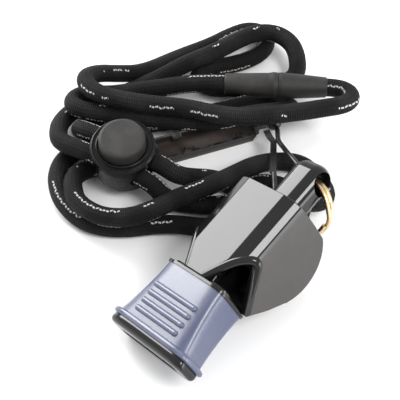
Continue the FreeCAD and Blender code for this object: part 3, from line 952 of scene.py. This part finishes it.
    def settle(self, smooth: float, material: bpy.types.Material, slot: str, *nodes: str) -> None:
        """Smooths the piece, leans it as the whistle lies and hides the CAD nodes that it stands for.

        Args:
            smooth: Edges flatter than this angle in degrees are smooth.
            material: The finish.
            slot: The record's material slot, not used.
            nodes: The CAD nodes that it stands for.
        """
        self.activate()
        bpy.ops.object.shade_smooth_by_angle(angle=math.radians(smooth))
        self.modify("WEIGHTED_NORMAL", keep_sharp=True)
        cover(self.obj, material)
        lean = Matrix.Translation(WHISTLE_ORIGIN) @ LEAN_MATRIX.to_4x4()
        self.obj.matrix_world = lean @ Matrix.Scale(MM, 4)
        self.activate()
        bpy.ops.object.transform_apply(location=True, rotation=True, scale=True)
        deselect()
        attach(self.obj, ROOT)
        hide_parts(*nodes)
        LOG.info("%s has %d faces", self.obj.name, len(self.obj.data.polygons))


@dataclass(frozen=True)
class MouthSection:
    """The rounded rectangle of the mouthpiece, which flares towards the lips."""

    front: float = -1.6
    rear: float = 16.0
    half: Pair = (11.4, 8.0)
    top: Pair = (-2.7, -1.3)
    bottom: Pair = (-8.7, -11.4)
    flare: float = 1.7
    squareness: float = 0.36
    sides: int = 64

    def at(self, x: float, grow: float) -> tuple[float, float, float]:
        """Half width, top and bottom at x, grown outward."""
        left = 1.0 - min((x - self.front) / (self.rear - self.front), 1.0)
        half = self.half[1] + (self.half[0] - self.half[1]) * max(left, 0.0) ** self.flare
        top = self.top[1] + (self.top[0] - self.top[1]) * left
        bottom = self.bottom[1] + (self.bottom[0] - self.bottom[1]) * left
        return half + grow, top + grow, bottom - grow

    def squared(self, y: float, z: float) -> Pair:
        """Moves a point of the unit circle out towards the unit square."""
        return tuple(math.copysign(abs(v) ** self.squareness, v) if abs(v) > TINY_SHARE else 0.0
                     for v in (y, z))


@dataclass
class Whistle:
    """The whistle's own pieces: body with its lug and lips, divider, and grip."""

    finishes: Finishes
    collar_x: float = 16.0
    back_x: float = 39.7
    port_x: float = 24.2
    port_top: float = -2.7
    port_low: float = -9.6
    chin: float = -10.4
    chamber: Pair = (30.4, -9.25)
    chamber_r: float = 10.0
    chin_angle: float = math.radians(238.0)
    chin_bulge: float = 0.4
    half: float = 10.1
    widest_z: float = -9.0
    bowing: Pair = (6.87, 18.4)
    section: Sequence[Pair] = ((5.4, 0.0), (8.0, -0.85), (9.15, -2.3))
    wall_z: Sequence[float] = (-4.0, -6.0, -9.0, -13.0, -17.0, -22.0)
    partition: float = 4.0
    neck: Sequence[Pair] = ((15.0, 2.6), (16.4, 2.6), (21.6, 5.5), (25.2, 9.3))
    neck_t: float = 2.1
    wall_t: float = 1.7
    room_end: float = 34.0
    room_z: Pair = (-10.0, -3.6)
    rim_r: float = 1.0
    rim_path: Sequence[Point] = (
        (16.3, 2.5, -0.95), (21.3, 5.3, -0.9), (24.3, 8.0, -1.6), (25.3, 9.3, -3.1), (23.6, 9.25, -5.0),
        (17.0, 9.1, -10.1))
    edge_round: float = 0.3
    lug: Pair = (48.9, -8.6)
    lug_r: float = 3.6
    lug_half: float = 4.5
    lug_root: float = 6.0
    lug_round: float = 3.2
    bore: Pair = (1.85, 2.95)
    mouth: MouthSection = MouthSection()
    blow_slot: Sequence[Pair] = ((-3.0, 5.0), (-9.0, 9.0), (-6.8, -4.6))
    slot_round: float = 0.7
    lip: Sequence[Pair] = (
        (-1.6, -0.2), (-1.45, 0.35), (-1.1, 0.75), (-0.6, 0.97), (0.0, 1.0), (0.3, 0.95))
    stem: Sequence[Pair] = ((0.35, 0.0), (4.0, 0.0), (8.0, 0.0), (12.0, 0.0), (15.25, 0.0))
    collar: Sequence[Pair] = ((15.3, 1.15), (15.9, 1.15), (15.95, 0.2), (16.6, 0.0))
    skin: float = 0.85
    bead: Sequence[Pair] = (
        (0.32, 0.9), (0.42, 1.35), (0.7, 1.68), (1.05, 1.75), (1.4, 1.62), (1.65, 1.2), (1.8, 0.88))
    grip_x: Sequence[float] = (4.0, 6.5, 9.0, 11.5, 13.5)
    grip_gap: float = 0.72
    ribs: int = 4
    rib_first: float = 3.6
    rib_pitch: float = 2.05
    rib_half: float = 6.9
    rib_r: float = 0.66
    rib_sink: float = 0.1

    def side_view(self, ys: Pair) -> Solid:
        """The chamber body's side view between two places across the whistle."""
        x, z = self.chamber
        foot_x = x + self.chamber_r * math.cos(self.chin_angle)
        foot_z = z + self.chamber_r * math.sin(self.chin_angle)
        belly = ((foot_x + self.collar_x) / 2, (foot_z + self.chin) / 2 - self.chin_bulge)
        rise = math.sqrt(self.chamber_r ** 2 - (self.back_x - x) ** 2)
        outline = [(self.collar_x, 0.0), (self.back_x, 0.0), (self.back_x, z + rise), (foot_x, foot_z),
                   belly, (self.collar_x, self.chin)]
        drum = Solid.rod("drum", (x, 0.0, z), (self.chamber_r, self.chamber_r), ys[1], 128)
        cap = Solid.block("cap", (0.0, 60.0), (ys[0] - 1, ys[1] + 1), (0.0, 9.0))
        tail = Solid.block("tail", (self.back_x, 60.0), (ys[0] - 1, ys[1] + 1), (-30.0, 9.0))
        drum.combine(Join.CUT, cap, tail)
        return Solid.plate("whistle_body", outline, ys).combine(Join.ADD, drum).cleaned()

    def chamber_body(self) -> Solid:
        """The chamber body with its bevels, facets and bowed side walls."""
        body = self.side_view((-self.half - 1, self.half + 1))
        right = list(self.section)
        for z in self.wall_z:
            bow = self.bowing[0] if z > self.widest_z else self.bowing[1]
            right.append((self.half - ((z - self.widest_z) / bow) ** 2, z))
        outline = [(10.0, y, z) for y, z in right] + [(10.0, -y, z) for y, z in reversed(right)]
        return body.combine(Join.MEET, Solid.prism("section", outline, (40.0, 0.0, 0.0)))

    def ports(self) -> list[Solid]:
        """What is cut away for the two three-cornered ports and the chambers behind them."""
        cutters = []
        front, over = self.collar_x - 0.5, self.half + 2
        for sign in (1, -1):
            across = sorted((sign * self.partition, sign * over))
            outline = [(front, 1.0), (self.port_x, 1.0), (self.port_x, self.port_top),
                       (front, self.port_low - 0.3)]
            port = Solid.plate("port", outline, across)
            beside = sorted((sign * 0.5, sign * over))
            eave = Solid.block("eave", (front, self.port_x), beside, (-self.neck_t, 1.0))
            inside = sorted((sign * self.partition, sign * (self.half - self.wall_t)))
            room = Solid.block("room", (self.collar_x + 1.2, self.room_end), inside, self.room_z)
            port.combine(Join.ADD, eave)
            sides = [(x, y, -self.neck_t - 0.5) for x, y in self.neck]
            sides += [(x, -y, z) for x, y, z in reversed(sides)]
            port.combine(Join.CUT, Solid.prism("neck", sides, (0.0, 0.0, 5.0)))
            cutters.append(port.combine(Join.ADD, room))
        return cutters

    def ring_lug(self) -> Solid:
        """The rounded tongue at the rear and its hourglass bore."""
        x, z = self.lug
        r = self.lug_r
        root = self.back_x - self.lug_root
        lug = Solid.block("lug", (root, x), (-self.lug_half, self.lug_half), (z - r, z + r))
        lug.combine(Join.ADD, Solid.rod("lug_end", (x, 0.0, z), (r, r), self.lug_half, 96))
        lug.rounded(self.lug_round, 8, 60.0)
        reach = (self.lug_half + 0.2) / 2
        for sign in (1, -1):
            ends = self.bore if sign > 0 else (self.bore[1], self.bore[0])
            lug.combine(Join.CUT, Solid.rod("flare", (x, sign * reach, z), ends, reach + 0.001, 48))
        return lug

    def body(self, material: bpy.types.Material) -> None:
        """Chamber body, lug, mouthpiece and port rims, as overlapping shells of one mesh."""
        body = self.chamber_body()
        body.combine(Join.CUT, *self.ports())
        body.rounded(self.edge_round, 3, 11.0)
        lug = self.ring_lug()
        mouthpiece = Solid.sleeve("lips", [*self.lip, *self.stem, *self.collar], self.mouth)
        slot = Solid.block("slot", *self.blow_slot).rounded(self.slot_round, 4, 60.0)
        mouthpiece.combine(Join.CUT, slot)
        body.join(lug, mouthpiece, *self.rims())
        body.settle(28.0, material, "body_plastic", "top_shell", "belly_shell")

    def rims(self) -> list[Solid]:
        """The thick rounded rims round the open sides of the ports."""
        return [self.tube("port_rim", [(x, sign * y, z) for x, y, z in self.rim_path], self.rim_r)
                for sign in (1, -1)]

    def tube(self, name: str, path: Sequence[Point], radius: float) -> Solid:
        """A round bar along a smooth path."""
        deselect()
        bpy.ops.curve.primitive_nurbs_path_add()
        curve = bpy.context.object.data
        curve.splines.clear()
        add_spline(curve, path)
        curve.bevel_depth = radius
        curve.bevel_resolution = 5
        curve.use_fill_caps = True
        bpy.ops.object.convert(target="MESH")
        return Solid(name)

    def grip(self, material: bpy.types.Material) -> None:
        """The soft sleeve with its bead and its half-round ribs."""
        stations = (*self.grip_x, self.collar_x - self.grip_gap)
        sleeve = [*self.bead, *((x, self.skin) for x in stations)]
        grip = Solid.sleeve("grip_sleeve", sleeve, self.mouth)
        for i in range(self.ribs):
            x = self.rib_first + i * self.rib_pitch
            top = self.mouth.at(x, self.skin)[1]
            centre = (x, 0.0, top - self.rib_sink)
            rib = Solid.rod("rib", centre, (self.rib_r, self.rib_r), self.rib_half, 24)
            grip.join(rib.rounded(self.rib_r * 0.95, 5, 60.0))
        grip.settle(40.0, material, "soft_grip", "mouth_grip")

    def build(self) -> None:
        """Makes the body and the grip, and dresses the divider."""
        plastic = self.finishes.body.build()
        self.body(plastic)
        self.grip(self.finishes.grip.build())
        dress("air_divider", plastic)


@dataclass
class Hardware:
    """Ring, hook, clamp, cord lock and connector."""

    finishes: Finishes
    lock_at: Point = (-17.6 * MM, 25.1 * MM, 4.8 * MM)
    lock_tilt: float = math.radians(7.8)
    lock_height: float = 9.2 * MM
    lock_rings: Sequence[tuple[str, float, float]] = (
        ("lock_ridge", 7.0, 0.22), ("lock_step", 5.95, 0.3))

    def build(self) -> None:
        """Dresses each CAD node, and adds the two rings on the lock's rim."""
        dress("split_ring", self.finishes.ring.build())
        hook = self.finishes.hook.build()
        for node in ("hook_wire", "hook_gate", "hook_swivel"):
            dress(node, hook)
        dress("cord_clamp", self.finishes.clamp.build())
        grained = self.finishes.button.build()
        for node in ("lock_button", "join_socket", "join_plug"):
            dress(node, grained)
        housing = self.finishes.housing.build()
        dress("lock_housing", housing)
        for name, radius, thick in self.lock_rings:
            self.lock_ring(name, radius * MM, thick * MM, housing)

    def lock_ring(self, name: str, radius: float, thick: float, material: bpy.types.Material) -> None:
        """A thin raised ring on the lock's rim, round the button.

        Args:
            name: The piece's name.
            radius: Its radius, from the lock's axis to its middle.
            thick: Half its thickness.
            material: The housing's finish.
        """
        deselect()
        bpy.ops.mesh.primitive_torus_add(major_segments=72, minor_segments=12, major_radius=radius,
                                         minor_radius=thick)
        ring = bpy.context.object
        ring.name = name
        ring.data.materials.append(material)
        plan = Matrix.Translation(PLAN_SHIFT) @ PLAN_TURN.to_4x4()
        lock = Matrix.Translation(Vector(self.lock_at)) @ Matrix.Rotation(self.lock_tilt, 4, "X")
        ring.matrix_world = plan @ lock @ Matrix.Translation((0.0, 0.0, self.lock_height))
        bpy.ops.object.transform_apply(location=True, rotation=True, scale=True)
        bpy.ops.object.shade_smooth()
        deselect()
        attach(ring, ROOT)


# Cord routes in the plan frame, in millimetres, from the clamp through the lock to the connector
ROUTE_A: list[Point] = [
    (-11.81, 34.45, 2.6), (-15.56, 33.07, 2.6), (-21, 34.2, 2.4), (-28, 33.2, 2.4), (-32.3, 30, 2.4),
    (-34, 25, 2.4), (-33, 19, 2.4), (-30, 14, 2.4), (-26, 10.5, 2.4), (-21, 9, 2.4), (-16, 9, 2.4),
    (-10, 10, 2.4), (-4.5, 10, 2.4), (0.5, 9, 2.4), (8, 9.5, 2.4), (15.5, 11, 2.4), (21.5, 14, 2.4),
    (21.5, 20, 2.4), (15.5, 22.6, 2.4), (9, 20.5, 2.4), (3.5, 23.5, 2.4), (-2.5, 23, 3.4),
    (-5.5, 21, 6.8), (-8.89, 22.83, 8.22), (-16.36, 26.86, 8.95), (-23.82, 30.89, 9.33),
    (-28, 33.5, 8.6), (-29.2, 36.6, 4.9), (-26, 40.5, 2.4), (-19.5, 40.1, 2.4), (-13, 40.5, 2.4),
    (0, 43.5, 2.4), (11, 47.5, 2.4), (19, 49.3, 2.4), (23.6, 45, 3.2), (19.2, 41, 6.9), (11.5, 40, 6.8),
    (4.5, 37.5, 6.8), (-2.5, 37.5, 6.8), (-12, 37.9, 7), (-19, 38.6, 7.4), (-24, 39.2, 8.1),
    (-28.6, 39.8, 8.4), (-31.2, 42.3, 7.8), (-30.4, 45.4, 7.2), (-27, 46.8, 6.9), (-22, 46.4, 6.8),
    (-16, 47.6, 6.9), (-9.5, 48.2, 7.4), (-2.8, 48.6, 8.4), (3, 48.37, 9), (6, 48.2, 9),
]
ROUTE_B: list[Point] = [
    (-10.23, 30.13, 2.6), (-13.98, 28.75, 2.6), (-19.5, 28.6, 2.4), (-26.3, 26, 3), (-29.5, 22.5, 4.4),
    (-29.3, 18, 6.2), (-28, 13, 7), (-24.5, 10, 7), (-21, 8.5, 7), (-16, 8, 7.4), (-11, 9.5, 8),
    (-5, 13.5, 7.8), (1, 16.5, 7.4), (7.5, 20.5, 7.2), (13, 24.7, 6.2), (19, 28.4, 3), (24.5, 28, 2.4),
    (28.2, 23, 2.4), (29.6, 17.3, 3.4), (26.5, 12.8, 6.2), (19.3, 14.1, 7.3), (11, 15.7, 5),
    (4, 15, 2.6), (-3.5, 16, 2.4), (-7.5, 16.2, 3.2), (-10.9, 18, 7.56), (-18.84, 22.34, 8.3),
    (-26.9, 26.7, 8.75), (-33, 29.5, 8.4), (-34, 35, 6.5), (-34, 40.5, 3.5), (-31.5, 45.5, 2.4),
    (-23, 49, 2.4), (-12.5, 54.5, 2.8), (-3, 58, 6.5), (3, 60.5, 7.2), (8.5, 64.5, 7.2), (14, 68.4, 7),
    (19.5, 68.5, 7), (23.5, 65, 6.8), (25, 61.5, 5), (25, 58, 2.4), (21.5, 54.5, 2.4), (15.5, 53, 2.4),
    (8, 53, 2.4), (2.6, 52.9, 2.4), (-1.2, 56, 2.4), (1.2, 60.2, 2.4), (8.5, 61.2, 2.4),
    (15, 64.5, 2.4), (18, 69, 2.4), (16.5, 73.5, 2.4), (12.5, 74.5, 2.4), (7.5, 71.8, 2.4),
    (3, 68.4, 2.4), (-5.5, 64, 2.4), (-14.5, 58.4, 2.4), (-20.2, 55.6, 4.9), (-25, 51.8, 9),
    (-28.4, 47.4, 11.8), (-26, 42, 12.8), (-20, 39.7, 12.3), (-12.5, 38.6, 11.8), (-3, 37.6, 11.6),
    (4, 35.5, 11.5), (11.5, 34.5, 11.5), (18, 35.5, 11.5), (25.5, 37, 11.2), (29.5, 38.1, 11),
    (33.5, 39.1, 10.7), (36.2, 41, 10.2), (36.6, 44.2, 9.5), (34.1, 46.62, 9), (31, 46.8, 9),
]


def main() -> None:
    """Builds the stage, the cords, the whistle and the hardware, in that order."""
    logging.basicConfig(level=logging.INFO)
    finishes = Finishes()
    Studio().build()
    braid = finishes.cord.build()
    Cord("lanyard_a", "cord_a", ROUTE_A, 0.311,
         with_pieces=["cord_clamp", "hook_swivel", "hook_wire", "hook_gate", "lock_housing", "lock_button",
                      "join_socket"]).build(braid)
    Cord("lanyard_b", "cord_b", ROUTE_B, 0.451, with_pieces=["join_plug"]).build(braid)
    Whistle(finishes).build()
    Hardware(finishes).build()


if __name__ == "__main__":
    main()
